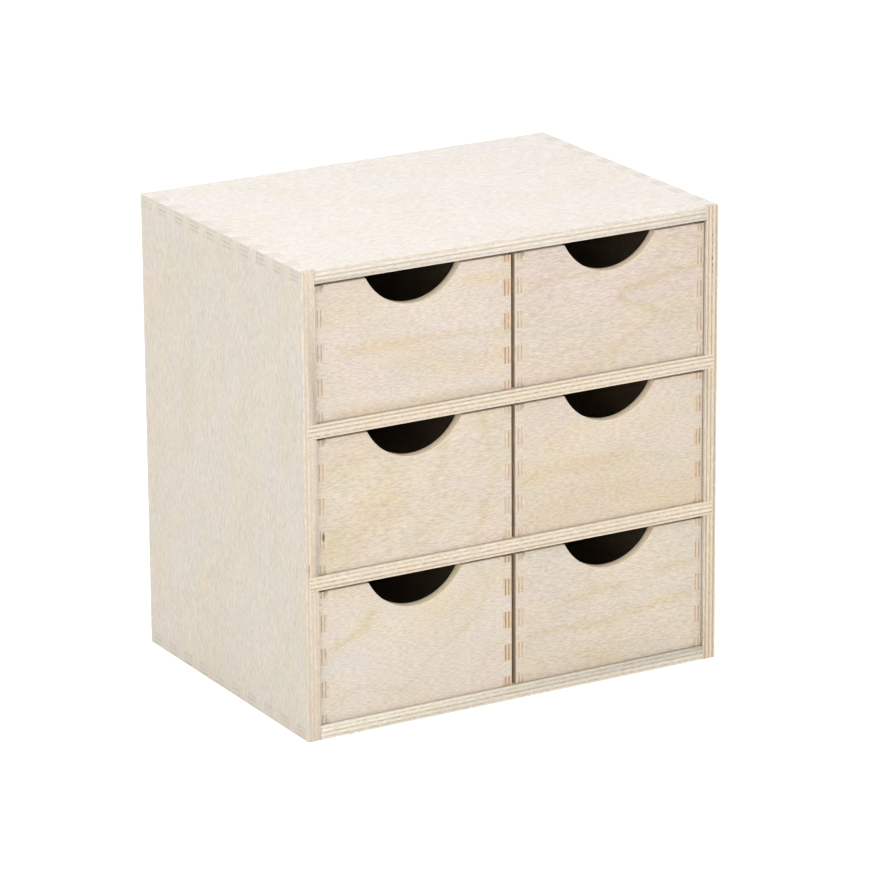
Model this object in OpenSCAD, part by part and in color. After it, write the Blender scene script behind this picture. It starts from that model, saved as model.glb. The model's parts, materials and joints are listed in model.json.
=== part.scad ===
// Tabletop chest of small drawers in birch plywood, three rows of two drawers.
// The case is finger-jointed at its four corners. Two shelves sit in dados in the sides, and a thin
// back panel lies in a rebate, held by headed pins. Each drawer is a finger-jointed box with a thin
// bottom let into grooves and a round-bottomed finger notch in the top of its front.
// Origin at the middle of the footprint, +X to the right, +Y to the rear, +Z up, millimetres.

/* [Case] */
// Width over both sides
case_w = 296; // [260:1:360]
// Depth from the front edges to the rear edges
case_d = 212; // [160:1:280]
// Thickness of the sides, the top, the bottom and the shelves
case_ply = 9; // [8:0.5:12]
// Clear height of each row, from a shelf to the one above it
opening_h = 88; // [70:1:120]
// Depth of the dados that hold the shelves
shelf_dado = 6; // [2:0.5:7]

/* [Back panel] */
// Thickness of the back panel
back_ply = 4; // [3:0.5:6]
// How far the rebate goes into the sides, the top and the bottom
back_rebate = 5; // [4:0.5:7]
// Diameter of a pin's shank
pin_d = 1.4; // [1:0.1:1.8]
// Diameter of a pin's flat head
pin_head_d = 2.8; // [2:0.1:3.4]
// Thickness of a pin's flat head
pin_head_h = 0.6; // [0.4:0.1:1]
// Length of a pin from the top of its head to its tip
pin_length = 16; // [12:0.5:20]
// Distance between the pins along the top, the bottom and the shelves
pin_spacing = 100; // [60:1:110]

/* [Finger joints] */
// Width of one finger, and of the gap between two
finger_w = 10.8; // [8:0.1:14]
// Least width of the finger at each end of a row of fingers
finger_end_min = 3; // [2:0.5:4]

/* [Drawers] */
// Thickness of the drawer fronts, sides and backs
drawer_ply = 6.5; // [5:0.5:9]
// Thickness of the drawer bottoms
drawer_bottom_ply = 3; // [2:0.5:5]
// Depth of the groove that holds a drawer bottom
bottom_groove = 3; // [2:0.25:4]
// Height of the groove above the lower edge of the drawer
bottom_rise = 4; // [2:0.5:10]
// How far the row of fingers in a drawer's corner sits above the middle
drawer_finger_lift = 0.8; // [0:0.1:1.5]
// Width of the finger notch along the top edge of the drawer front
notch_w = 66; // [50:1:80]
// Depth of the finger notch at its lowest point
notch_depth = 20.5; // [12:0.5:24]

/* [Clearances] */
// How far the drawer fronts stand back from the front edges of the case
front_recess = 2; // [0:0.5:6]
// Gap between a closed drawer and the back panel
rear_gap = 0.5; // [0.3:0.1:3]
// Gap between a drawer and the side of the case
side_gap = 0.5; // [0.5:0.1:1.5]
// Gap between the two drawers of a row
middle_gap = 2.8; // [1:0.1:6]
// Gap above a drawer
top_gap = 2; // [0.5:0.1:4]
// Running gap under a drawer
slide_gap = 0.2; // [0.2:0.1:0.6]
// How far each drawer of the bottom row stands nearer to the side of the case
bottom_row_spread = 0.2; // [0:0.1:0.4]

/* [Hidden] */
ROWS = ["bottom", "middle", "top"];
COLUMNS = ["left", "right"];
PIECES = ["front", "back", "left_side", "right_side", "bottom"];
CASE_NODES = [
    "left_side", "right_side", "top_panel", "bottom_panel",
    "upper_shelf", "lower_shelf", "back_panel", "back_pins"
];

LEFT = -1;
RIGHT = 1;
row_pitch = opening_h + case_ply;
case_h = len(ROWS) * row_pitch + case_ply;
inner_w = case_w - 2 * case_ply;
inner_d = case_d - back_ply;
drawer_w = (inner_w - 2 * side_gap - middle_gap) / 2;
drawer_d = inner_d - front_recess - rear_gap;
drawer_h = opening_h - slide_gap - top_gap;
notch_r = (pow(notch_w / 2, 2) + pow(notch_depth, 2)) / (2 * notch_depth);
pin_point_h = pin_d * 1.2;
// Extra length by which a cutter runs past the face that it cuts
past = 1;
$fn = 64;

case_face = [0.91, 0.86, 0.79];
shelf_face = [0.90, 0.84, 0.76];
drawer_face = [0.89, 0.82, 0.74];
thin_ply_face = [0.86, 0.77, 0.65];
pin_steel = [0.62, 0.62, 0.63];

function drawer_node(row, column, piece) = str(row, "_", column, "_drawer_", piece);

// Number of fingers that one board passes through the other along a corner of this length
function finger_count(length) = floor((length - 2 * finger_end_min + finger_w) / (2 * finger_w));

// Distance from the start of the corner to finger number k, with the row of fingers centred
function finger_start(length, k) =
    (length - (2 * finger_count(length) - 1) * finger_w) / 2 + 2 * k * finger_w;

// Height of a row's floor, which is the top of the board under its drawers
function row_floor(row) = case_ply + row * row_pitch;

// ---- case ----

// Strips across the whole case whose ends are the fingers of the top or the bottom panel
module case_finger_strips(z) {
    for (k = [0 : finger_count(case_d) - 1])
        translate([-case_w / 2, -case_d / 2 + finger_start(case_d, k), z])
            cube([case_w, finger_w, case_ply]);
}

module back_board() {
    board_w = inner_w + 2 * back_rebate;
    board_h = case_h - 2 * (case_ply - back_rebate);
    translate([-board_w / 2, inner_d - case_d / 2, case_ply - back_rebate])
        cube([board_w, back_ply, board_h]);
}

// A shelf runs into both sides by the depth of its dados. Shelf 1 is the lower one.
module shelf_board(number) {
    board_w = inner_w + 2 * shelf_dado;
    translate([-board_w / 2, -case_d / 2, row_floor(number) - case_ply])
        cube([board_w, inner_d, case_ply]);
}

// A flat-headed pin, its head flush with the rear of the case and its tip pointing forwards
module pin() {
    translate([0, case_d / 2, 0])
        rotate([90, 0, 0]) {
            cylinder(h = pin_head_h, d = pin_head_d);
            cylinder(h = pin_length - pin_point_h, d = pin_d);
            translate([0, 0, pin_length - pin_point_h])
                cylinder(h = pin_point_h, d1 = pin_d, d2 = pin_d / 4);
        }
}

// One pin into each side at the middle of each row, and three into every horizontal board
module all_pins() {
    edge = back_rebate / 2;
    for (row = [0 : len(ROWS) - 1], side = [LEFT, RIGHT])
        translate([side * (inner_w / 2 + edge), 0, row_floor(row) + opening_h / 2]) pin();
    for (step = [-1 : 1]) {
        translate([step * pin_spacing, 0, case_ply - edge]) pin();
        translate([step * pin_spacing, 0, case_h - case_ply + edge]) pin();
        for (number = [1 : len(ROWS) - 1])
            translate([step * pin_spacing, 0, row_floor(number) - case_ply / 2]) pin();
    }
}

module case_side(side) {
    color(case_face)
        difference() {
            translate([side == LEFT ? -case_w / 2 : inner_w / 2, -case_d / 2, 0])
                cube([case_ply, case_d, case_h]);
            case_finger_strips(0);
            case_finger_strips(case_h - case_ply);
            for (number = [1 : len(ROWS) - 1]) shelf_board(number);
            back_board();
            all_pins();
        }
}

module left_side() {
    case_side(LEFT);
}

module right_side() {
    case_side(RIGHT);
}

// The top or the bottom panel, whose fingers pass through both sides
module end_panel(z) {
    color(case_face)
        difference() {
            union() {
                translate([-inner_w / 2, -case_d / 2, z])
                    cube([inner_w, case_d, case_ply]);
                case_finger_strips(z);
            }
            back_board();
            all_pins();
        }
}

module top_panel() {
    end_panel(case_h - case_ply);
}

module bottom_panel() {
    end_panel(0);
}

module shelf(number) {
    color(shelf_face)
        difference() {
            shelf_board(number);
            all_pins();
        }
}

module upper_shelf() {
    shelf(2);
}

module lower_shelf() {
    shelf(1);
}

module back_panel() {
    color(thin_ply_face)
        difference() {
            back_board();
            all_pins();
        }
}

module back_pins() {
    color(pin_steel) all_pins();
}

// ---- drawer, with its origin at the foot of the middle of its front face ----

// Strips across the whole drawer whose ends are the fingers of its front or its back
module drawer_finger_strips(y) {
    for (k = [0 : finger_count(drawer_h) - 1])
        translate([-drawer_w / 2, y, finger_start(drawer_h, k) + drawer_finger_lift])
            cube([drawer_w, drawer_ply, finger_w]);
}

module bottom_board() {
    inset = drawer_ply - bottom_groove;
    translate([inset - drawer_w / 2, inset, bottom_rise])
        cube([drawer_w - 2 * inset, drawer_d - 2 * inset, drawer_bottom_ply]);
}

// The front or the back of a drawer, whose fingers pass through both sides
module drawer_cross_board(y) {
    difference() {
        union() {
            translate([drawer_ply - drawer_w / 2, y, 0])
                cube([drawer_w - 2 * drawer_ply, drawer_ply, drawer_h]);
            drawer_finger_strips(y);
        }
        bottom_board();
    }
}

module drawer_front() {
    color(drawer_face)
        difference() {
            drawer_cross_board(0);
            translate([0, -past, drawer_h - notch_depth + notch_r])
                rotate([-90, 0, 0])
                    cylinder(h = drawer_ply + 2 * past, r = notch_r, $fn = 96);
        }
}

module drawer_back() {
    color(drawer_face) drawer_cross_board(drawer_d - drawer_ply);
}

module drawer_side(side) {
    color(drawer_face)
        difference() {
            translate([side == LEFT ? -drawer_w / 2 : drawer_w / 2 - drawer_ply, 0, 0])
                cube([drawer_ply, drawer_d, drawer_h]);
            drawer_finger_strips(0);
            drawer_finger_strips(drawer_d - drawer_ply);
            bottom_board();
        }
}

module drawer_bottom() {
    color(thin_ply_face) bottom_board();
}

// Moves a drawer piece to its place in a row and a column, both counted from 0
module in_bay(row, column) {
    side = column == 0 ? LEFT : RIGHT;
    spread = row == 0 ? bottom_row_spread : 0;
    translate([
        side * ((drawer_w + middle_gap) / 2 + spread),
        front_recess - case_d / 2,
        row_floor(row) + slide_gap
    ])
        children();
}

left_side();
right_side();
top_panel();
bottom_panel();
upper_shelf();
lower_shelf();
back_panel();
back_pins();
for (r = [0 : len(ROWS) - 1], c = [0 : len(COLUMNS) - 1]) {
    in_bay(r, c) drawer_front();
    in_bay(r, c) drawer_back();
    in_bay(r, c) drawer_side(LEFT);
    in_bay(r, c) drawer_side(RIGHT);
    in_bay(r, c) drawer_bottom();
}
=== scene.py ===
# %% [markdown]
# # A tabletop chest of six drawers in birch plywood
# The chest is a finger-jointed case with two shelves and six small drawers, all of it bare sanded
# birch plywood. The packed model brings every board in its true shape and place. This script gives
# the boards their wood, eases their sharp corners as a sanding block does, and sets up the studio.

# %% Load the packed chest
import json
import math

import bmesh
import bpy
import numpy as np
from mathutils import Matrix, Vector


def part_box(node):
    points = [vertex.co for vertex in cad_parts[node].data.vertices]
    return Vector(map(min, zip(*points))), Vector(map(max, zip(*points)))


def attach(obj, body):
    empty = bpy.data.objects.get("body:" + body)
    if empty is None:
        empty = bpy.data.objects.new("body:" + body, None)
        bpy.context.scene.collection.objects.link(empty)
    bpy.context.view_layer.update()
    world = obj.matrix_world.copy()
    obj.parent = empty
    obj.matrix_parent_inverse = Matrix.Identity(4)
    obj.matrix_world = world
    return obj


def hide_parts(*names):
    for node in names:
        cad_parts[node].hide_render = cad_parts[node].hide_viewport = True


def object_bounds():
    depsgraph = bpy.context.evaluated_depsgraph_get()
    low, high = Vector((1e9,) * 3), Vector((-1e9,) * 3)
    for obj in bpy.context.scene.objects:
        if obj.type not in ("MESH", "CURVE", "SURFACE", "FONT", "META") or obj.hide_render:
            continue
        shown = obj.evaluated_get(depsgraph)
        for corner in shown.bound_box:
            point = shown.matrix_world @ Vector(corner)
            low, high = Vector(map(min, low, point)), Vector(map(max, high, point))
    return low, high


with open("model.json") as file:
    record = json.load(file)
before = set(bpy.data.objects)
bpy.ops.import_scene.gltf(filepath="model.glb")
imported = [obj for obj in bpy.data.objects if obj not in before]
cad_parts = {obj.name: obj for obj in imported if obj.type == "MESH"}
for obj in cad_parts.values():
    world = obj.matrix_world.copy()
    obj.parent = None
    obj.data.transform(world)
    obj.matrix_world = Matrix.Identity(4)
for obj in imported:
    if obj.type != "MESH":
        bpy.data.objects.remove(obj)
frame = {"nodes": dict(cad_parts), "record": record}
nodes = frame["nodes"]
bodies = frame["record"]["behaviour"]["bodies"]
cad_low, cad_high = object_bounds()
MM = 0.001
print(f"{len(nodes)} nodes, box {[round(v / MM, 1) for v in cad_high - cad_low]} mm")

# %% [markdown]
# ## Camera
# The photograph looks down on the chest's front left corner from some three metres, through a long
# lens. A camera is a place, a turn and a lens: it backs away from the middle of the chest along one
# line, slides a few millimetres sideways and down, and leans by less than half a degree.

# %% Camera
CAMERA_AZIMUTH = -29.79
CAMERA_ELEVATION = 17.74
CAMERA_LEAN = -0.42
CAMERA_DISTANCE = 3.294
CAMERA_RIGHT = 3.3 * MM
CAMERA_UP = -5.1 * MM
LENS_MM = 214.7
SENSOR_MM = 36

azimuth, elevation = math.radians(CAMERA_AZIMUTH), math.radians(CAMERA_ELEVATION)
back = Vector((
    math.sin(azimuth) * math.cos(elevation),
    -math.cos(azimuth) * math.cos(elevation),
    math.sin(elevation),
))
level = Vector((math.cos(azimuth), math.sin(azimuth), 0))
right = Matrix.Rotation(math.radians(CAMERA_LEAN), 3, back) @ level
up = back.cross(right)

camera_data = bpy.data.cameras.new("camera")
camera_data.lens = LENS_MM
camera_data.sensor_width = SENSOR_MM
camera = bpy.data.objects.new("camera", camera_data)
middle = Vector((0, 0, (cad_low.z + cad_high.z) / 2))
camera.location = middle + back * CAMERA_DISTANCE + right * CAMERA_RIGHT + up * CAMERA_UP
camera.rotation_euler = Matrix((right, up, back)).transposed().to_euler()
bpy.context.scene.collection.objects.link(camera)
bpy.context.scene.camera = camera
print(f"camera {CAMERA_DISTANCE} m away, lens {LENS_MM} mm")

# %% [markdown]
# ## Studio
# The chest stands in a tent of white light: every side is bright, the top a little more than the
# rest, and only gaps and hollows are dark. A white world gives the even light. One large soft lamp
# overhead and to the left lifts the top, and four farther off, one on each side, light the faces and
# the rims of the finger notches. The left one stands well round to the side, so that it doesn't shine
# through a notch onto the inside of a drawer. The Standard view keeps bare wood as pale as it is.

# %% Studio floor, world and lamps
FLOOR_RADIUS = 8.0
FLOOR_STEPS = 96
SKY_WHITE = (1.0, 0.995, 0.985, 1)
SKY_STRENGTH = 0.93
PAPER_WHITE, PAPER_ROUGHNESS = (0.97, 0.97, 0.97, 1), 0.9
# Each lamp: side in metres, power in watts, place in metres, colour
LAMPS = {
    "overhead": (1.6, 24.5, (-0.65, -0.4, 1.85), (0.955, 0.985, 1.0)),
    "front_fill": (1.2, 12, (0.2, -2.1, 0.9), (1.0, 0.97, 0.97)),
    "left_fill": (1.4, 30, (-2.5, -0.9, 0.35), (1.0, 0.995, 0.99)),
    "right_fill": (1.4, 35, (2.4, 0.6, 0.4), (1, 1, 1)),
    "back_fill": (1.4, 35, (-0.4, 2.6, 0.4), (1, 1, 1)),
}


def lamp(name, size, power, place, colour):
    """A square soft lamp that faces the middle of the chest."""
    data = bpy.data.lights.new(name, "AREA")
    data.size = size
    data.energy = power
    data.color = colour
    item = bpy.data.objects.new(name, data)
    item.location = place
    item.rotation_euler = (middle - Vector(place)).to_track_quat("-Z", "Y").to_euler()
    bpy.context.scene.collection.objects.link(item)


turn = np.linspace(0, 2 * math.pi, FLOOR_STEPS, endpoint=False)
rim = np.column_stack([np.cos(turn), np.sin(turn), np.zeros(FLOOR_STEPS)]) * FLOOR_RADIUS
rim[:, 2] = cad_low.z
floor_mesh = bpy.data.meshes.new("studio_floor")
floor_mesh.from_pydata(rim.tolist(), [], [list(range(FLOOR_STEPS))])
studio_floor = bpy.data.objects.new("studio_floor", floor_mesh)
bpy.context.scene.collection.objects.link(studio_floor)

floor_material = bpy.data.materials.new("white_paper")
floor_material.use_nodes = True
paper = floor_material.node_tree.nodes["Principled BSDF"]
paper.inputs["Base Color"].default_value = PAPER_WHITE
paper.inputs["Roughness"].default_value = PAPER_ROUGHNESS
paper.inputs["Specular IOR Level"].default_value = 0.0
floor_mesh.materials.append(floor_material)

world = bpy.data.worlds.new("white_tent")
world.use_nodes = True
world.node_tree.nodes["Background"].inputs["Color"].default_value = SKY_WHITE
world.node_tree.nodes["Background"].inputs["Strength"].default_value = SKY_STRENGTH
bpy.context.scene.world = world
bpy.context.scene.view_settings.view_transform = "Standard"

for name, settings in LAMPS.items():
    lamp(name, *settings)
print(f"floor {2 * FLOOR_RADIUS:.0f} m across, world at {SKY_STRENGTH}, {len(LAMPS)} lamps")

# %% [markdown]
# ## Short names for shader nodes
# A procedural wood is arithmetic on places: how far along the grain, how far across, how deep. Each
# step is one node. The class below adds a node, sets or joins its inputs, and returns its output, so
# that a formula reads from top to bottom.

# %% Node helper


class Bench:
    """Adds nodes to one node tree. A value given to a node is a number, a colour or another output."""

    def __init__(self, tree):
        self.tree = tree

    def fill(self, socket, value):
        if isinstance(value, bpy.types.NodeSocket):
            self.tree.links.new(value, socket)
        else:
            socket.default_value = value

    def node(self, kind, inputs=(), **settings):
        made = self.tree.nodes.new(kind)
        for key, value in settings.items():
            setattr(made, key, value)
        for key, value in dict(inputs).items():
            self.fill(made.inputs[key], value)
        return made

    def math(self, operation, *values):
        made = self.node("ShaderNodeMath", enumerate(values), operation=operation)
        return made.outputs[0]

    def vector(self, operation, *values):
        """Arithmetic on vectors, or on colours. A length or a product comes out as one number."""
        made = self.node("ShaderNodeVectorMath", enumerate(values), operation=operation)
        number = operation in ("DOT_PRODUCT", "DISTANCE", "LENGTH")
        return made.outputs["Value" if number else "Vector"]

    def scaled(self, vector, by):
        """The vector, or colour, times three numbers."""
        return self.vector("MULTIPLY", vector, by)

    def dimmed(self, colour, by):
        """The colour times one number."""
        made = self.node("ShaderNodeVectorMath", {0: colour, "Scale": by}, operation="SCALE")
        return made.outputs[0]

    def split(self, vector):
        return self.node("ShaderNodeSeparateXYZ", {0: vector}).outputs

    def joined(self, x, y, z):
        return self.node("ShaderNodeCombineXYZ", {0: x, 1: y, 2: z}).outputs[0]

    def between(self, share, a, b):
        """The number a where share is 0, and b where it is 1."""
        made = self.node("ShaderNodeMix", {0: share, 2: a, 3: b}, data_type="FLOAT")
        return made.outputs[0]

    def blend(self, share, a, b):
        """The colour a where share is 0, and b where it is 1."""
        made = self.node("ShaderNodeMix", {0: share, 6: a, 7: b}, data_type="RGBA")
        return made.outputs[2]

    def rise(self, value, low, high):
        """0 below low, 1 above high, and a smooth curve between them."""
        ends = {"Value": value, "From Min": low, "From Max": high}
        made = self.node("ShaderNodeMapRange", ends, interpolation_type="SMOOTHSTEP")
        return made.outputs[0]

    def noise(self, vector, detail=2.0):
        made = self.node("ShaderNodeTexNoise", {"Vector": vector, "Scale": 1.0, "Detail": detail})
        return made.outputs[0]


def new_group(name, inputs, outputs):
    """A shader node group: its bench, its named input sockets and its output node."""
    group = bpy.data.node_groups.new(name, "ShaderNodeTree")
    for label, kind in inputs.items():
        group.interface.new_socket(label, in_out="INPUT", socket_type=kind)
    for label, kind in outputs.items():
        group.interface.new_socket(label, in_out="OUTPUT", socket_type=kind)
    bench = Bench(group)
    return bench, bench.node("NodeGroupInput").outputs, bench.node("NodeGroupOutput")


NUMBER, VECTOR, COLOUR = "NodeSocketFloat", "NodeSocketVector", "NodeSocketColor"
print("steps:", ", ".join(name for name in vars(Bench) if not name.startswith("_")))

# %% [markdown]
# ## Layers of a plywood board
# Plywood is thin sheets glued with their grain crossed. Seen from an edge, every second sheet is
# browner, most of all in its middle, which makes the stripes of a plywood edge. So the pattern is a
# fact of the solid board: the depth under the nearest face gives the number of the layer, and the way
# the surface faces tells face from edge, and a long edge from an end. Painting stripes on each edge
# by hand would go wrong in the finger joints and in the notches.

# %% Group: ply layers
# How squarely a surface has to face along the grain to count as an end
END_FACING = (0.9, 0.99)
# A glue line fades between these distances from the seam, and a stripe grows up to this one, in mm
GLUE_FADE = (0.03, 0.17)
STRIPE_RISE = 0.45
# No glue line is nearer to a face than this, in mm
LEAST_GLUE_DEPTH = 0.5

bench, given, out = new_group(
    "ply layers",
    {"Place": VECTOR, "Facing": VECTOR,
     "Half Thickness": NUMBER, "Face Ply": NUMBER, "Inner Ply": NUMBER},
    {"Layer": NUMBER, "Crossed": NUMBER, "Stripe": NUMBER,
     "End": NUMBER, "Glue": NUMBER, "Edge": NUMBER},
)
place, facing = bench.split(given["Place"]), bench.split(given["Facing"])
depth = bench.math("SUBTRACT", given["Half Thickness"], bench.math("ABSOLUTE", place["Z"]))
sheets = bench.math("DIVIDE", bench.math("SUBTRACT", depth, given["Face Ply"]), given["Inner Ply"])
layer = bench.math("MAXIMUM", bench.math("ADD", bench.math("FLOOR", sheets), 1.0), 0.0)
crossed = bench.math("MODULO", layer, 2.0)
end = bench.rise(bench.math("ABSOLUTE", facing["X"]), *END_FACING)
flat = bench.math("POWER", bench.math("ABSOLUTE", facing["Z"]), 2.0)
off_line = bench.math("ABSOLUTE", bench.math("SUBTRACT", sheets, bench.math("ROUND", sheets)))
off_line = bench.math("MULTIPLY", off_line, given["Inner Ply"])
line = bench.math("SUBTRACT", 1.0, bench.rise(off_line, *GLUE_FADE))
line = bench.math("MULTIPLY", line, bench.math("GREATER_THAN", depth, LEAST_GLUE_DEPTH))
bench.fill(out.inputs["Layer"], layer)
bench.fill(out.inputs["Crossed"], crossed)
stripe = bench.math("MULTIPLY", crossed, bench.rise(off_line, 0.0, STRIPE_RISE))
bench.fill(out.inputs["Stripe"], stripe)
bench.fill(out.inputs["End"], end)
bench.fill(out.inputs["Glue"], bench.math("MULTIPLY", line, bench.math("SUBTRACT", 1.0, flat)))
bench.fill(out.inputs["Edge"], bench.math("SUBTRACT", 1.0, flat))
print("ply layers:", len(bench.tree.nodes), "nodes")

# %% [markdown]
# ## Fibres of birch
# Peeled birch is pale and quiet. It has hair-fine fibres, short dashes where a pore was cut open,
# soft patches of a warmer colour, and here and there the faint wandering lines of the year rings.
# All of them are long along the grain and short across it, so each is noise that is stretched along
# the layer's own grain. One formula then serves faces, long-grain edges and end grain.

# %% Scale of the grain
# Each pattern: repeats per millimetre along the grain, across it and through the sheet, and detail
GRAIN = {
    "fibre": ((0.27, 1.37, 1.37), 2.0),
    "pores": ((0.24, 1.4, 1.4), 1.0),
    "patches": ((0.013, 0.034, 0.034), 2.0),
    "mottle": ((0.30, 0.55, 0.55), 3.0),
    "wander": ((0.016, 0.30, 0.30), 2.0),
    "bend": ((0.008, 0.022, 0.022), 1.0),
    "fade": ((0.02, 0.05, 0.05), 1.0),
}


def grain_noise(bench, wood, name):
    """The noise of one pattern at a place in the wood."""
    scale, detail = GRAIN[name]
    return bench.noise(bench.scaled(wood, scale), detail)


fibre_length, fibre_width = (1 / repeats for repeats in GRAIN["fibre"][0][:2])
print(f"{len(GRAIN)} patterns, a fibre is about {fibre_length:.1f} by {fibre_width:.1f} mm")

# %% Group: birch fibres
# Steps in millimetres that take one sheet, and one board, to a fresh part of the noise
SHEET_STEP, BOARD_STEP = 17.0, (131.7, 57.3, 23.9)
BLUSH_SCALE, BLUSH_DETAIL, BLUSH_ROUGHNESS = (0.022, 0.045, 0.045), 4.0, 0.7
# The part of the noise, from none to full, that counts as a pore, a patch or a visible ring
PORE_RANGE, PATCH_RANGE, FADE_RANGE = (0.56, 0.76), (0.46, 0.72), (0.42, 0.66)
RINGS_PER_MM, RING_BEND, RING_SHARPNESS = 0.035, 7.0, 9.0

bench, given, out = new_group(
    "birch fibres",
    {"Place": VECTOR, "Layer": NUMBER, "Crossed": NUMBER, "Seed": NUMBER},
    {"Fibre": NUMBER, "Pores": NUMBER, "Patches": NUMBER, "Rings": NUMBER,
     "Mottle": NUMBER, "Wander": NUMBER, "Blush": COLOUR},
)
place = bench.split(given["Place"])
along = bench.between(given["Crossed"], place["X"], place["Y"])
across = bench.between(given["Crossed"], place["Y"], place["X"])
sheet_shift = bench.math("MULTIPLY_ADD", given["Layer"], SHEET_STEP, place["Z"])
shift = bench.scaled(bench.joined(given["Seed"], given["Seed"], given["Seed"]), BOARD_STEP)
wood = bench.vector("ADD", bench.joined(along, across, sheet_shift), shift)
blush = bench.node("ShaderNodeTexNoise", {
    "Vector": bench.scaled(wood, BLUSH_SCALE), "Scale": 1.0,
    "Detail": BLUSH_DETAIL, "Roughness": BLUSH_ROUGHNESS,
}).outputs[1]
bend = bench.math("MULTIPLY", grain_noise(bench, wood, "bend"), RING_BEND)
phase = bench.math("MULTIPLY_ADD", across, RINGS_PER_MM, bend)
wave = bench.math("SINE", bench.math("MULTIPLY", phase, 2 * math.pi))
rings = bench.math("POWER", bench.math("MULTIPLY_ADD", wave, 0.5, 0.5), RING_SHARPNESS)
fade = bench.rise(grain_noise(bench, wood, "fade"), *FADE_RANGE)
bench.fill(out.inputs["Fibre"], grain_noise(bench, wood, "fibre"))
bench.fill(out.inputs["Pores"], bench.rise(grain_noise(bench, wood, "pores"), *PORE_RANGE))
bench.fill(out.inputs["Patches"], bench.rise(grain_noise(bench, wood, "patches"), *PATCH_RANGE))
bench.fill(out.inputs["Rings"], bench.math("MULTIPLY", rings, fade))
bench.fill(out.inputs["Mottle"], grain_noise(bench, wood, "mottle"))
bench.fill(out.inputs["Wander"], grain_noise(bench, wood, "wander"))
bench.fill(out.inputs["Blush"], blush)
print("birch fibres:", len(bench.tree.nodes), "nodes")

# %% [markdown]
# ## Figure and open spots
# Some marks stand out in the photograph: warm lines and flames where a year ring comes to the surface
# of a drawer front, and open spots in a few edges, whose near-black colour is painted shade inside
# them. Noise can't put them in the right place, so three small groups measure from chosen places. A
# figure is a chain of straight lines whose place is first stirred by noise, so that it wanders as grain
# does.

# %% Group: stirred place
# Waves of the stirring per millimetre along and across the grain, and how far it reaches in mm
STIR_SCALE, STIR_REACH, STIR_DETAIL = (0.05, 0.11, 0.0), (14.0, 9.0, 0.0), 3.0
# The step that takes one board to a fresh part of the noise
STIR_STEP = (71.3, 37.9, 0.0)

bench, given, out = new_group("stirred place", {"Place": VECTOR, "Seed": NUMBER}, {"Place": VECTOR})
shift = bench.scaled(bench.joined(given["Seed"], given["Seed"], given["Seed"]), STIR_STEP)
wide = bench.vector("ADD", bench.scaled(given["Place"], STIR_SCALE), shift)
stir = bench.node("ShaderNodeTexNoise", {"Vector": wide, "Scale": 1.0, "Detail": STIR_DETAIL})
centred = bench.vector("SUBTRACT", stir.outputs[1], (0.5, 0.5, 0.5))
flat_place = bench.scaled(given["Place"], (1.0, 1.0, 0.0))
bench.fill(out.inputs["Place"], bench.vector("ADD", bench.scaled(centred, STIR_REACH), flat_place))
print("stirred place:", len(bench.tree.nodes), "nodes")

# %% Group: line distance
bench, given, out = new_group(
    "line distance", {"Place": VECTOR, "From": VECTOR, "To": VECTOR}, {"Distance": NUMBER}
)
span = bench.vector("SUBTRACT", given["To"], given["From"])
away = bench.vector("SUBTRACT", given["Place"], given["From"])
reach = bench.vector("DOT_PRODUCT", away, span)
whole = bench.vector("DOT_PRODUCT", span, span)
share = bench.node("ShaderNodeClamp", {"Value": bench.math("DIVIDE", reach, whole)}).outputs[0]
bench.fill(out.inputs["Distance"], bench.vector("DISTANCE", away, bench.dimmed(span, share)))
print("line distance:", len(bench.tree.nodes), "nodes")

# %% Group: open spot
# The ragged outline of a spot: waves per millimetre, detail and depth, and the span in which it fades
RAGGED_SCALE, RAGGED_DETAIL, RAGGED_DEPTH, SPOT_RIM = (1.3, 1.3, 1.3), 2.0, 0.9, (0.65, 1.1)

bench, given, out = new_group(
    "open spot", {"Place": VECTOR, "Centre": VECTOR, "Size": VECTOR}, {"Mask": NUMBER}
)
offset = bench.vector("SUBTRACT", given["Place"], given["Centre"])
length = bench.vector("LENGTH", bench.vector("DIVIDE", offset, given["Size"]))
ragged = bench.noise(bench.scaled(given["Place"], RAGGED_SCALE), RAGGED_DETAIL)
ragged = bench.math("SUBTRACT", ragged, 0.5)
length = bench.math("MULTIPLY_ADD", ragged, RAGGED_DEPTH, length)
bench.fill(out.inputs["Mask"], bench.math("SUBTRACT", 1.0, bench.rise(length, *SPOT_RIM)))
print("open spot:", len(bench.tree.nodes), "nodes")

# %% [markdown]
# ## The plywood itself
# The layers say what kind of grain shows, and the fibres say how it varies. This group turns both
# into a colour, a roughness and a height. Faces are creamy with warm patches and a faint blush that
# wanders between pink, green and yellow. Every second sheet is browner on an edge, the glue is a
# hairline, and every inner sheet has a tone of its own that comes and goes along the board. The ends
# of a thick board are sanded flush with its neighbour, so they have two colours of their own.

# %% Group: birch plywood
bench, given, out = new_group(
    "birch plywood",
    {"Place": VECTOR, "Facing": VECTOR,
     "Half Thickness": NUMBER, "Face Ply": NUMBER, "Inner Ply": NUMBER, "Seed": NUMBER,
     "Pale": COLOUR, "Warm": COLOUR, "Light Sheet": COLOUR, "Dark Sheet": COLOUR,
     "Light End": COLOUR, "Dark End": COLOUR, "Blush": NUMBER, "Figure": NUMBER, "Spot": NUMBER},
    {"Color": COLOUR, "Roughness": NUMBER, "Height": NUMBER},
)
layers = bench.node("ShaderNodeGroup", node_tree=bpy.data.node_groups["ply layers"])
for label in ("Place", "Facing", "Half Thickness", "Face Ply", "Inner Ply"):
    bench.fill(layers.inputs[label], given[label])
layers = layers.outputs
fibres = bench.node("ShaderNodeGroup", node_tree=bpy.data.node_groups["birch fibres"])
for label, value in (
    ("Place", given["Place"]), ("Layer", layers["Layer"]),
    ("Crossed", layers["Crossed"]), ("Seed", given["Seed"]),
):
    bench.fill(fibres.inputs[label], value)
fibres = fibres.outputs
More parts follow.
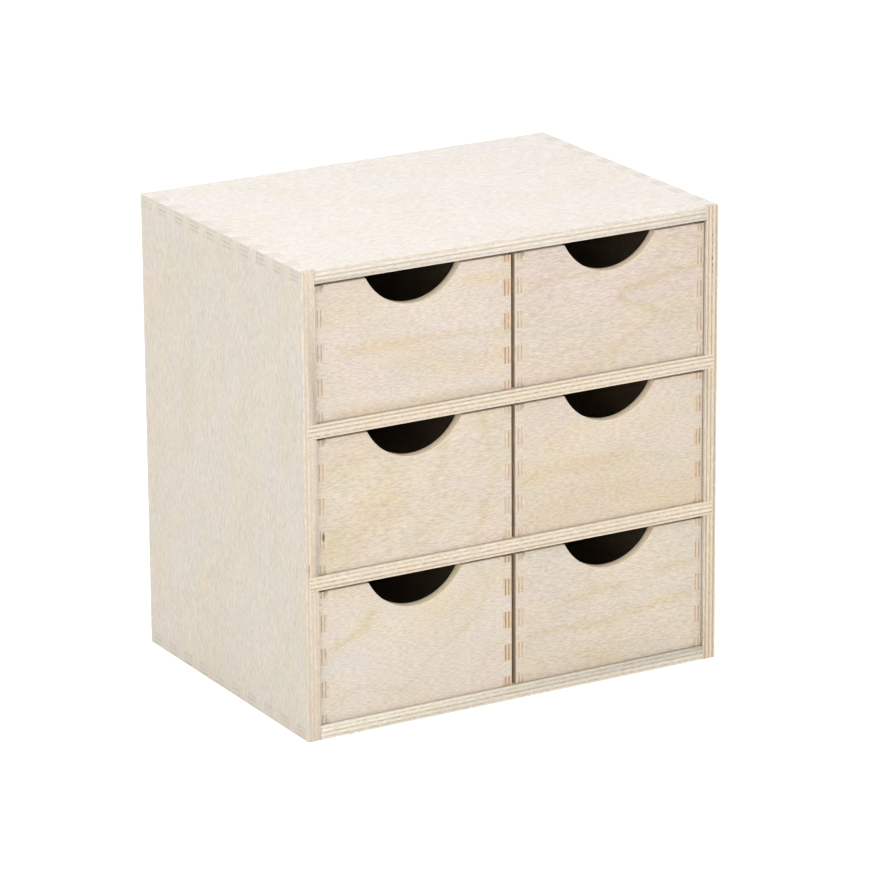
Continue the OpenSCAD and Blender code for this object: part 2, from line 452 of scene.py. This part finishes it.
print("birch plywood starts from", len(layers) + len(fibres), "masks and tones")

# %% Colour of the plywood
# How much each mark warms a face, and how much the fibres and the mottle change its tone
WARMTH = {"Patches": 0.20, "Rings": 0.16, "Pores": 0.45}
TONES = {"Fibre": 0.76, "Mottle": 0.06}
# How much the inner sheets differ, the range in which they show as stripes, and the share of glue
SHEET_SPREAD, STRIPE_RANGE, GLUE_SHARE = 0.4, (0.2, 0.9), 0.25
# The least blush as a factor on red, green and blue, and what the noise adds to it
BLUSH_LEAST, BLUSH_SPREAD = (0.90, 0.96, 0.79), (0.20, 0.08, 0.42)
# Near black for open spots: painted shade inside voids, cracks and chips that the mesh doesn't have
VOID_SHADE = (0.06, 0.035, 0.02, 1)

warmth = given["Figure"]
for mark, share in WARMTH.items():
    warmth = bench.math("MULTIPLY_ADD", fibres[mark], share, warmth)
face = bench.blend(bench.math("MINIMUM", warmth, 1.0), given["Pale"], given["Warm"])

side = bench.math("SIGN", bench.split(given["Place"])["Z"])
sheet_name = bench.joined(layers["Layer"], side, given["Seed"])
sheet_tone = bench.node("ShaderNodeTexWhiteNoise", {"Vector": sheet_name}).outputs["Value"]
strength = bench.math("MULTIPLY_ADD", sheet_tone, SHEET_SPREAD, fibres["Wander"])
stripes = bench.math("MULTIPLY", layers["Stripe"], bench.rise(strength, *STRIPE_RANGE))
light = bench.blend(layers["End"], given["Light Sheet"], given["Light End"])
dark = bench.blend(layers["End"], given["Dark Sheet"], given["Dark End"])
edge = bench.blend(stripes, light, dark)
edge = bench.blend(bench.math("MULTIPLY", layers["Glue"], GLUE_SHARE), edge, dark)
colour = bench.blend(layers["Edge"], face, edge)

tone = 1.0
for mark, share in TONES.items():
    tone = bench.math("MULTIPLY_ADD", bench.math("SUBTRACT", fibres[mark], 0.5), share, tone)
colour = bench.dimmed(colour, tone)
blush = bench.vector("MULTIPLY_ADD", fibres["Blush"], BLUSH_SPREAD, BLUSH_LEAST)
colour = bench.scaled(colour, bench.blend(given["Blush"], (1, 1, 1, 1), blush))
# Open spots get painted shade, as their hollow is only a bump
colour = bench.blend(given["Spot"], colour, VOID_SHADE)
bench.fill(out.inputs["Color"], colour)
print("birch plywood with its colour:", len(bench.tree.nodes), "nodes")

# %% Roughness and height of the plywood
ROUGHNESS, FIBRE_ROUGHNESS, STRIPE_ROUGHNESS = 0.50, 0.14, 0.14
# Heights beside that of a fibre, which is 1
PORE_HEIGHT, GLUE_HEIGHT, SPOT_HEIGHT = -0.8, -0.6, -6.0

rough = bench.math("MULTIPLY_ADD", fibres["Fibre"], FIBRE_ROUGHNESS, ROUGHNESS)
rough = bench.math("MULTIPLY_ADD", stripes, STRIPE_ROUGHNESS, rough)
bench.fill(out.inputs["Roughness"], rough)
height = bench.math("MULTIPLY_ADD", fibres["Pores"], PORE_HEIGHT, fibres["Fibre"])
height = bench.math("MULTIPLY_ADD", layers["Glue"], GLUE_HEIGHT, height)
height = bench.math("MULTIPLY_ADD", given["Spot"], SPOT_HEIGHT, height)
bench.fill(out.inputs["Height"], height)
print("birch plywood:", len(bench.tree.nodes), "nodes")

# %% [markdown]
# ## Wood for each board
# Every board is cut from its own part of a sheet, so each has its own material: the same groups with
# the board's own grain direction, place, seed and tint. A Mapping node turns the board so that X runs
# along the grain of its faces, Y across it and Z through its thickness, in millimetres.

# %% Stock and tints
# Sheets of each board in millimetres: half its thickness, a face sheet and an inner sheet
CASE_STOCK = {"Half Thickness": 4.5, "Face Ply": 1.0, "Inner Ply": 1.4}
DRAWER_STOCK = {"Half Thickness": 3.25, "Face Ply": 1.45, "Inner Ply": 1.2}
BACK_STOCK = {"Half Thickness": 2.0, "Face Ply": 1.1, "Inner Ply": 1.8}
BOTTOM_STOCK = {"Half Thickness": 1.5, "Face Ply": 0.8, "Inner Ply": 1.4}
X, Y, Z = Vector((1, 0, 0)), Vector((0, 1, 0)), Vector((0, 0, 1))
# Colours of a face, and the light and the dark sheet of a long edge and of an end
PALE, WARM = (0.456, 0.394, 0.320), (0.428, 0.350, 0.236)
SHEETS = ((0.525, 0.455, 0.366), (0.325, 0.252, 0.172))
ENDS = ((0.440, 0.362, 0.280), (0.290, 0.210, 0.138))
STOCKS = (CASE_STOCK, DRAWER_STOCK, BACK_STOCK, BOTTOM_STOCK)
print("boards of", [2 * stock["Half Thickness"] for stock in STOCKS], "mm")

# %% One board's material
BUMP_DEPTH, BUMP_STRENGTH = 0.04 * MM, 0.6
# Farther from a line of the figure than any place on a board, in millimetres
FAR = 1000.0


def board_turn(grain, thickness):
    """The turn that takes the grain to X and the thickness to Z. Y is their cross product, so that
    nothing is mirrored."""
    return Matrix((grain, thickness.cross(grain), thickness))


def plywood(
    node, grain, thickness, stock, seed, tint=(1, 1, 1), sheets=SHEETS, ends=ENDS,
    figure=(), spots=(), blush=1.0,
):
    """The material of one board. The tint is on its faces. Sheets are the light and the dark one on
    its long edges, and ends the same on its ends. The blush is the share of it that shows. A figure
    is a list of (strength, half width, points), with each point in millimetres along and across the
    grain, from the foot and left of a front, or from the foot and front of a side. A spot is a
    (strength, centre, size) in millimetres along, across and through, from the board's middle."""
    low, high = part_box(node)
    turn = board_turn(grain, thickness)
    centre = turn @ ((low + high) / 2 / MM)
    material = bpy.data.materials.new(node + "_wood")
    material.use_nodes = True
    bench = Bench(material.node_tree)
    shader = material.node_tree.nodes["Principled BSDF"]
    source = bench.node("ShaderNodeTexCoord").outputs
    angles = turn.to_euler()
    place = bench.node(
        "ShaderNodeMapping",
        {"Vector": source["Object"], "Location": -centre, "Rotation": angles, "Scale": (1 / MM,) * 3},
    ).outputs[0]
    facing = bench.node(
        "ShaderNodeMapping",
        {"Vector": source["Normal"], "Rotation": angles},
        vector_type="VECTOR",
    ).outputs[0]

    def placed(group, **values):
        return bench.node("ShaderNodeGroup", values, node_tree=bpy.data.node_groups[group]).outputs

    def strongest(masks):
        total = 0.0
        for mask in masks:
            total = bench.math("MAXIMUM", total, mask)
        return total

    half = turn @ ((high - low) / 2 / MM)
    masks = []
    if figure:
        stirred = placed("stirred place", Place=place, Seed=seed)["Place"]
    for strength, half_width, points in figure:
        chain = [(x - abs(half.x), abs(half.y) - z, 0) for x, z in points]
        nearest = FAR
        for start, finish in zip(chain, chain[1:]):
            off = placed("line distance", Place=stirred, From=start, To=finish)["Distance"]
            nearest = bench.math("MINIMUM", nearest, off)
        ratio = bench.math("DIVIDE", nearest, half_width)
        fall = bench.math("MULTIPLY", bench.math("MULTIPLY", ratio, ratio), -1.0)
        masks.append(bench.math("MULTIPLY", bench.math("EXPONENT", fall), strength))
    open_spots = []
    for strength, spot_centre, size in spots:
        spot = placed("open spot", Place=place, Centre=spot_centre, Size=size)["Mask"]
        open_spots.append(bench.math("MULTIPLY", spot, strength))
    colours = {
        "Pale": (*(c * t for c, t in zip(PALE, tint)), 1),
        "Warm": (*(c * t for c, t in zip(WARM, tint)), 1),
        "Light Sheet": (*sheets[0], 1),
        "Dark Sheet": (*sheets[1], 1),
        "Light End": (*ends[0], 1),
        "Dark End": (*ends[1], 1),
    }
    board = placed(
        "birch plywood", Place=place, Facing=facing, Seed=seed, Blush=blush,
        Figure=strongest(masks), Spot=strongest(open_spots), **stock, **colours,
    )
    bench.fill(shader.inputs["Base Color"], board["Color"])
    bench.fill(shader.inputs["Roughness"], board["Roughness"])
    relief = {"Height": board["Height"], "Distance": BUMP_DEPTH, "Strength": BUMP_STRENGTH}
    bump = bench.node("ShaderNodeBump", relief)
    bench.fill(shader.inputs["Normal"], bump.outputs[0])
    return material


upright = [round(math.degrees(angle)) for angle in board_turn(Z, X).to_euler()]
print("a side, with its grain upright, turns by", upright, "degrees")

# %% [markdown]
# ## Boards of the case
# The case is one box of thick boards. The grain of the sides stands upright, and that of the top, the
# bottom and the shelves runs across. Boards differ a little in tone, so each has a tint and edge
# colours of its own, matched to the photograph. The tints of the top and of the sides are painted
# light and shade: the top is painted brighter and bluer, the sides darker and cooler. One material for
# all would be quicker, but the case would look cast in one piece. The few plain marks, such as a crack
# in the front edge of the left side and open spots in that of the right side, are placed one by one,
# because noise can't know where they are. Their near-black colour is painted shade inside hollows
# that the boards don't have.

# %% Materials of the case
LEFT_FIGURE = [
    (0.30, 1.8, [(257, 129), (214, 130)]),
    (0.26, 1.5, [(251, 105), (203, 106), (150, 107), (100, 106)]),
    (0.22, 2.2, [(235, 143), (200, 146), (185, 142)]),
]
LEFT_CRACK = [(0.7, (-39.0, 106.0, -2.1), (5.0, 1.0, 0.35))]
RIGHT_SPOTS = [
    (0.55, (131.0, 106.0, 0.1), (1.2, 0.8, 0.5)), (0.40, (126.0, 106.0, 0.2), (1.3, 0.8, 0.4)),
    (0.55, (121.0, 106.0, 0.2), (1.4, 0.8, 0.4)), (0.65, (116.0, 106.0, 0.0), (1.6, 1.0, 0.6)),
    (0.60, (111.5, 106.0, 0.2), (1.5, 1.0, 0.5)), (0.45, (107.0, 106.0, 0.1), (1.3, 0.8, 0.5)),
]
BOTTOM_CHIPS = [
    (0.8, (-117.5, -106.0, -4.5), (1.8, 0.7, 0.6)), (0.7, (-112.0, -106.0, -4.5), (1.1, 0.6, 0.4)),
]
# End colours that carry the painted light and shade of the faces round them: the sides' ends show on
# the top and share its painted light, and the panels' ends show on the sides and share their painted
# shade
SIDE_ENDS_PAINTED_LIGHT = ((0.530, 0.478, 0.438), (0.455, 0.398, 0.350))
PANEL_ENDS_PAINTED_SHADE = ((0.380, 0.342, 0.290), (0.322, 0.282, 0.234))
materials = {
    # The tints of both sides are painted shade: they make the sides darker and cooler than the fronts
    "left_side": plywood(
        "left_side", Z, X, CASE_STOCK, 1.0, (0.860, 0.894, 0.942),
        ((0.478, 0.409, 0.328), (0.425, 0.350, 0.270)), SIDE_ENDS_PAINTED_LIGHT, LEFT_FIGURE, LEFT_CRACK,
    ),
    "right_side": plywood(
        "right_side", Z, X, CASE_STOCK, 2.0, (0.880, 0.905, 0.940),
        ((0.494, 0.414, 0.320), (0.315, 0.239, 0.160)), SIDE_ENDS_PAINTED_LIGHT, spots=RIGHT_SPOTS,
    ),
    # The top's tint is painted highlight and sheen: it makes the top brighter and bluer, and only half
    # its blush shows on the brightly lit top
    "top_panel": plywood(
        "top_panel", X, Z, CASE_STOCK, 3.0, (1.20, 1.28, 1.47),
        ((0.503, 0.455, 0.390), (0.366, 0.303, 0.235)), PANEL_ENDS_PAINTED_SHADE, blush=0.5,
    ),
    "bottom_panel": plywood(
        "bottom_panel", X, Z, CASE_STOCK, 4.0, (1, 1, 1),
        ((0.540, 0.500, 0.424), (0.360, 0.290, 0.210)), PANEL_ENDS_PAINTED_SHADE, spots=BOTTOM_CHIPS,
    ),
    "upper_shelf": plywood("upper_shelf", X, Z, CASE_STOCK, 5.0),
    "lower_shelf": plywood("lower_shelf", X, Z, CASE_STOCK, 6.0),
    "back_panel": plywood("back_panel", Z, Y, BACK_STOCK, 7.0, (0.98, 0.95, 0.9)),
}
print(len(materials), "case materials")

# %% [markdown]
# ## Boards of the drawers
# Each drawer is a small box with its own front, and no two fronts are alike: here a long warm line,
# there a flame or a wide bend. A picture of the wood could be laid on them, but it would smear in the
# notch and on the fingers. A few lines for each front, stirred by noise, keep the character. The
# sides show in the finger joints as short striped bars, some rosy, some tan and some grey, so they
# too have colours of their own.

# %% Figure of the six drawer fronts
# Each line: strength, half width, and points as millimetres along and up from the lower left corner
FIGURE = {
    "top_left_drawer": [
        (0.70, 3.5, [(20, 43), (60, 41), (100, 41), (136, 37)]),
        (0.42, 10.0, [(58, 30), (90, 26), (128, 24)]),
        (0.52, 2.8, [(104, 73), (136, 74)]),
        (0.70, 2.6, [(12, 2), (134, 3)]),
    ],
    "top_right_drawer": [
        (0.70, 2.8, [(136, 61), (108, 56), (86, 53), (74, 48), (80, 43), (96, 38), (103, 32)]),
        (0.62, 2.6, [(103, 32), (98, 27), (86, 23), (74, 17), (70, 12), (72, 0)]),
        (0.42, 7.0, [(112, 30), (134, 26)]),
        (0.40, 2.2, [(12, 64), (60, 66)]),
        (0.45, 3.0, [(4, 3), (60, 4)]),
        (0.40, 3.5, [(100, 79), (136, 76)]),
    ],
    "middle_left_drawer": [
        (0.55, 13.0, [(4, 18), (24, 22), (42, 34), (54, 60)]),
        (0.50, 3.0, [(50, 8), (51, 40), (46, 60), (40, 70)]),
        (0.55, 2.6, [(92, 84), (88, 60), (82, 44)]),
        (0.52, 3.2, [(118, 84), (119, 64), (126, 48), (121, 28), (110, 6)]),
        (0.40, 9.0, [(6, 66), (30, 70)]),
        (0.40, 5.0, [(62, 6), (84, 18), (100, 32)]),
    ],
    "middle_right_drawer": [
        (0.62, 5.5, [(8, 36), (40, 39), (84, 41)]),
        (0.48, 15.0, [(10, 12), (60, 17), (124, 12)]),
        (0.40, 2.5, [(86, 41), (110, 34), (134, 32)]),
    ],
    "bottom_left_drawer": [
        (0.90, 2.6, [(10, 48), (22, 52), (30, 58), (37, 66)]),
        (0.60, 1.7, [
            (114, 84), (118, 68), (117, 54), (108, 48), (96, 42), (80, 30), (68, 18), (58, 12),
        ]),
        (0.55, 1.7, [(58, 12), (46, 14), (32, 19), (20, 16), (8, 9)]),
        (0.40, 3.0, [(136, 32), (120, 26), (112, 14)]),
        (0.30, 9.0, [(70, 60), (104, 62)]),
    ],
    "bottom_right_drawer": [
        (0.58, 3.0, [(36, 46), (58, 51), (80, 49)]),
        (0.58, 2.6, [(106, 56), (136, 59)]),
        (0.62, 2.8, [(10, 28), (36, 31), (60, 29), (84, 33), (136, 36)]),
        (0.35, 8.0, [(10, 6), (70, 8)]),
    ],
}
print(sum(len(lines) for lines in FIGURE.values()), "figure lines")

# %% Materials of the drawers
DRAWERS = [name for name in bodies if name != "case"]
# Edge colours of the fronts, lighter than the other boards' edges: painted light on the notch rims,
# which sit in shade under the case, and so on every long edge of a front
PAINTED_LIGHT_RIMS = ((0.66, 0.565, 0.43), (0.55, 0.445, 0.315))
# The drawer sides' warm tint is partly their own tone and partly painted shade: it browns the shaded
# gaps between the drawers
SIDE_TONE_AND_GAP_SHADE, BOTTOM_TINT = (0.98, 0.905, 0.81), (0.97, 0.93, 0.87)
# The light and the dark sheets of the drawers' sides, as they show in the finger joints of the fronts
BROWN = ((0.468, 0.362, 0.258), (0.220, 0.130, 0.065))
TAN = ((0.468, 0.388, 0.302), (0.300, 0.215, 0.130))
ROSY = ((0.468, 0.388, 0.302), (0.325, 0.235, 0.182))
GREYISH = ((0.468, 0.388, 0.302), (0.255, 0.200, 0.144))
FINGERS = {
    "top_left_drawer": (ROSY, BROWN), "top_right_drawer": (GREYISH, TAN),
    "middle_left_drawer": (TAN, TAN), "middle_right_drawer": (ROSY, BROWN),
    "bottom_left_drawer": (GREYISH, BROWN), "bottom_right_drawer": (TAN, TAN),
}
FRONT_TINTS = {
    "top_left_drawer": (1.01, 1.01, 1.05), "top_right_drawer": (0.98, 0.965, 1.0),
    "middle_left_drawer": (1.0, 1.0, 1.0), "middle_right_drawer": (1.0, 0.99, 0.99),
    "bottom_left_drawer": (1.02, 1.035, 1.08), "bottom_right_drawer": (0.98, 0.99, 1.0),
}
OPEN_SPOTS = {"middle_left_drawer_left_side": [(0.85, (-19.0, 102.5, 0.9), (3.0, 1.2, 1.0))]}
# The case uses seeds 1 to 7, and each drawer takes five from 10 on
FIRST_SEED, BOARDS_PER_DRAWER = 10.0, 5
for number, drawer in enumerate(DRAWERS):
    seed = FIRST_SEED + BOARDS_PER_DRAWER * number
    materials[drawer + "_front"] = plywood(
        drawer + "_front", X, Y, DRAWER_STOCK, seed, FRONT_TINTS[drawer], PAINTED_LIGHT_RIMS, figure=FIGURE[drawer]
    )
    materials[drawer + "_back"] = plywood(drawer + "_back", X, Y, DRAWER_STOCK, seed + 1)
    for side, step, finger in zip(("_left_side", "_right_side"), (2, 3), FINGERS[drawer]):
        materials[drawer + side] = plywood(
            drawer + side, Z, X, DRAWER_STOCK, seed + step, SIDE_TONE_AND_GAP_SHADE, finger,
            spots=OPEN_SPOTS.get(drawer + side, ()),
        )
    materials[drawer + "_bottom"] = plywood(
        drawer + "_bottom", Y, Z, BOTTOM_STOCK, seed + 4, BOTTOM_TINT
    )
print(len(materials), "materials in all")

# %% [markdown]
# ## Eased corners
# A sanding block takes a third of a millimetre off every corner of the case that a hand can reach,
# less off the drawers, which have to keep a close fit, and none off the seams of a glued joint. A
# Bevel modifier does the same where its weight says so. The packed boards are loose triangles, so each
# board is copied, its corners are merged and its flat triangles are joined, and then every sharp edge
# gets a weight: full where it is free, nothing where it lies on an edge of a neighbouring board or is
# one of the short facets round a pin's hole.

# %% Copy a board and weigh its edges
CASE_EASE, DRAWER_EASE, EASE_STEPS = 0.33 * MM, 0.2 * MM, 3
# Edges this close count as touching, edges this short as facets, and points this close as one
TOUCH, FACET, SAME_POINT = 0.02 * MM, 0.5 * MM, 0.001 * MM
SHARP, FLAT = math.radians(30), math.radians(0.2)
WEIGHT = "bevel_weight_edge"


def clean_copy(node):
    """The node's mesh with doubles merged and flat triangles joined, as a bmesh."""
    bm = bmesh.new()
    bm.from_mesh(nodes[node].data)
    bmesh.ops.remove_doubles(bm, verts=bm.verts, dist=SAME_POINT)
    bmesh.ops.dissolve_limit(bm, angle_limit=FLAT, verts=bm.verts, edges=bm.edges)
    bm.edges.layers.float.new(WEIGHT)
    return bm


def edge_ends(bm):
    """Both ends of every sharp edge, as an array of edges by 2 by 3, and the edges themselves."""
    sharp = [e for e in bm.edges if len(e.link_faces) == 2 and e.calc_face_angle() > SHARP]
    return np.array([[e.verts[0].co, e.verts[1].co] for e in sharp]), sharp


def glued(ends, neighbours):
    """True for each edge whose middle lies on a neighbour's edge: the nearest point of a segment is
    its start plus its direction times the share of the way, kept between 0 and 1."""
    middles = ends.mean(axis=1)[:, None]
    start, along = neighbours[None, :, 0], (neighbours[:, 1] - neighbours[:, 0])[None]
    share = ((middles - start) * along).sum(-1) / (along**2).sum(-1)
    nearest = start + np.clip(share, 0, 1)[..., None] * along
    return (np.linalg.norm(middles - nearest, axis=-1) < TOUCH).any(axis=1)


print(f"easing: {CASE_EASE / MM:.2f} mm on the case, {DRAWER_EASE / MM:.2f} mm on the drawers")

# %% Build the boards
total_faces = 0
for body, members in bodies.items():
    boards = [node for node in members if node in materials]
    copies = {node: clean_copy(node) for node in boards}
    ends = {node: edge_ends(copies[node]) for node in boards}
    for node in boards:
        others = np.concatenate([ends[other][0] for other in boards if other != node])
        lengths = np.linalg.norm(ends[node][0][:, 1] - ends[node][0][:, 0], axis=1)
        weights = np.where(glued(ends[node][0], others) | (lengths < FACET), 0.0, 1.0)
        bm = copies[node]
        weight_layer = bm.edges.layers.float[WEIGHT]
        for edge, weight in zip(ends[node][1], weights):
            edge[weight_layer] = weight
            edge.smooth = bool(weight > 0)
        for face in bm.faces:
            face.smooth = True
        mesh = bpy.data.meshes.new(node + "_board")
        bm.to_mesh(mesh)
        bm.free()
        mesh.materials.append(materials[node])
        board = bpy.data.objects.new(node + "_board", mesh)
        bpy.context.scene.collection.objects.link(board)
        ease = board.modifiers.new("eased corners", "BEVEL")
        ease.limit_method = "WEIGHT"
        ease.width = CASE_EASE if body == "case" else DRAWER_EASE
        ease.segments = EASE_STEPS
        ease.use_clamp_overlap = False
        ease.harden_normals = True
        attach(board, body)
        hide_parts(node)
        total_faces += len(mesh.polygons)
print(f"{len(materials)} boards, {total_faces} faces before easing")

# %% [markdown]
# ## Panel pins
# Eighteen steel pins hold the back, driven in until their flat heads are flush. The steel is bare and
# a little scratched by the hammer: a metal whose colour and roughness vary with one stretched noise.
# The packed pins keep their shape, because a head's rim is too small to need easing.

# %% Steel for the pins
SCRATCHES_PER_METRE, SCRATCH_DETAIL = (2600.0, 300.0, 900.0), 3.0
DARK_STEEL, LIGHT_STEEL = (0.16, 0.16, 0.165, 1), (0.28, 0.28, 0.285, 1)
STEEL_ROUGHNESS, SCRATCH_ROUGHNESS = 0.22, 0.25
steel = bpy.data.materials.new("pin_steel")
steel.use_nodes = True
bench = Bench(steel.node_tree)
shader = steel.node_tree.nodes["Principled BSDF"]
shader.inputs["Metallic"].default_value = 1.0
place = bench.node("ShaderNodeTexCoord").outputs["Object"]
scratch = bench.noise(bench.scaled(place, SCRATCHES_PER_METRE), SCRATCH_DETAIL)
bench.fill(shader.inputs["Base Color"], bench.blend(scratch, DARK_STEEL, LIGHT_STEEL))
rough = bench.math("MULTIPLY_ADD", scratch, SCRATCH_ROUGHNESS, STEEL_ROUGHNESS)
bench.fill(shader.inputs["Roughness"], rough)
pins = nodes["back_pins"]
pins.data.materials.clear()
pins.data.materials.append(steel)
print("pins:", len(pins.data.polygons), "faces")

# %% [markdown]
# ## Size
# The boards keep the packed sizes, and easing only takes wood away.
